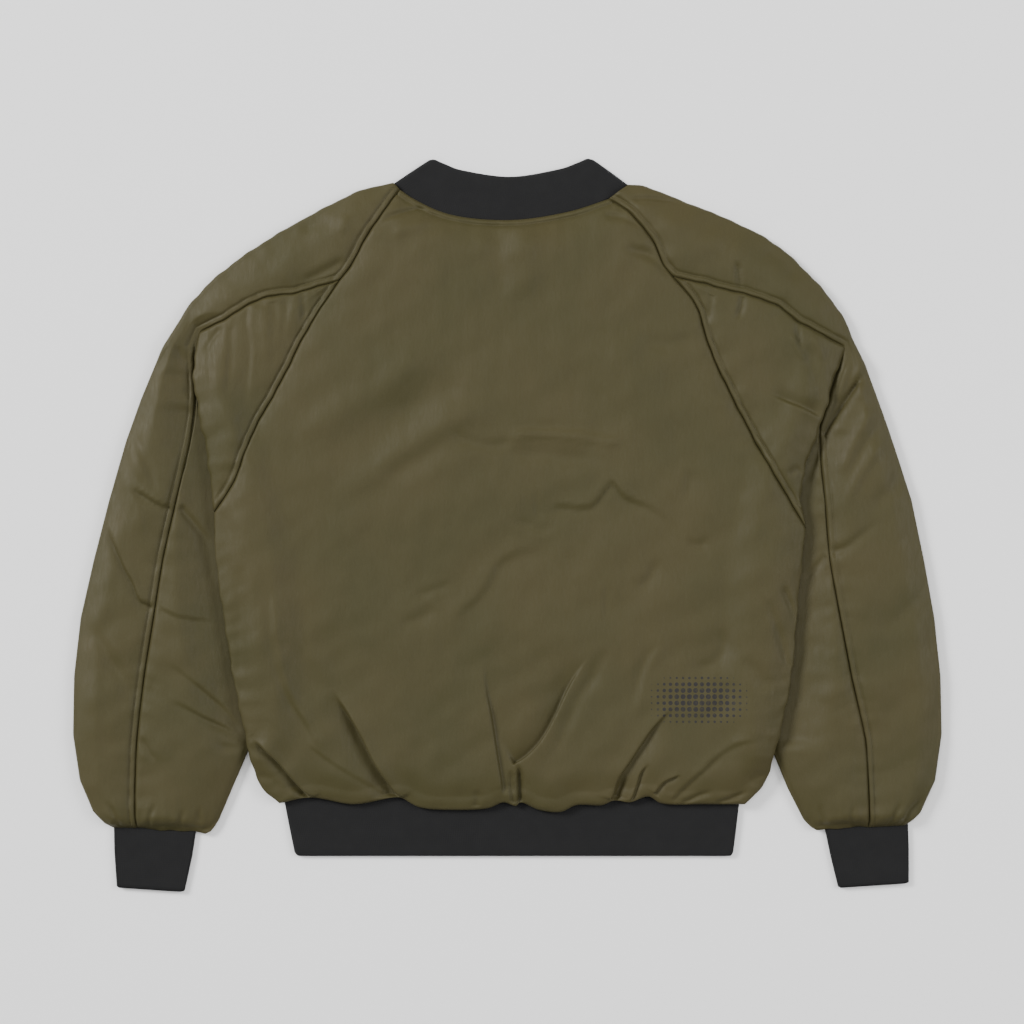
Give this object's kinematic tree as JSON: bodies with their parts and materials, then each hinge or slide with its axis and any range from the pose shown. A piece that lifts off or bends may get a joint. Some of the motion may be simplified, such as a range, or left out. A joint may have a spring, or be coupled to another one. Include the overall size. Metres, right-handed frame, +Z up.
{
  "type": "bomber jacket",
  "caption": "Padded bomber jacket with raglan sleeves and rib collar, cuffs and waistband, laid flat on its front with the back upwards.",
  "frame": {"origin": "middle of the jacket's outline, on the surface that it lies on", "axes": "+X across the jacket, to the right as its back is looked at; +Y from the waistband to the collar; +Z up, out of the back"},
  "size_m": [0.911, 0.7698, 0.0264],
  "materials": {
    "shell": "woven nylon with a soft sheen",
    "rib": "fine rib knit, matt",
    "zip_tape": "woven tape, matt",
    "zip_metal": "dark satin"
  },
  "bodies": {
    "root": {"back": "shell", "front_left": "shell", "front_right": "shell", "sleeve_outer_left": "shell", "sleeve_outer_right": "shell", "sleeve_back_upper_left": "shell", "sleeve_back_upper_right": "shell", "sleeve_back_lower_left": "shell", "sleeve_back_lower_right": "shell", "sleeve_front_upper_left": "shell", "sleeve_front_upper_right": "shell", "sleeve_front_lower_left": "shell", "sleeve_front_lower_right": "shell", "collar": "rib", "waistband": "rib", "cuff_left": "rib", "cuff_right": "rib", "zip_tape_left": "zip_tape", "zip_tape_right": "zip_tape", "zip_chain": "zip_metal", "zip_slider": "zip_metal"},
    "pull": {"zip_pull": "zip_metal"}
  },
  "joints": [
    {"name": "pull_swing", "type": "hinge", "parent": "root", "child": "pull", "pos_m": [0.003, 0.243, 0.0008], "axis": [1, 0, 0], "range_deg": [0, 110]}
  ]
}
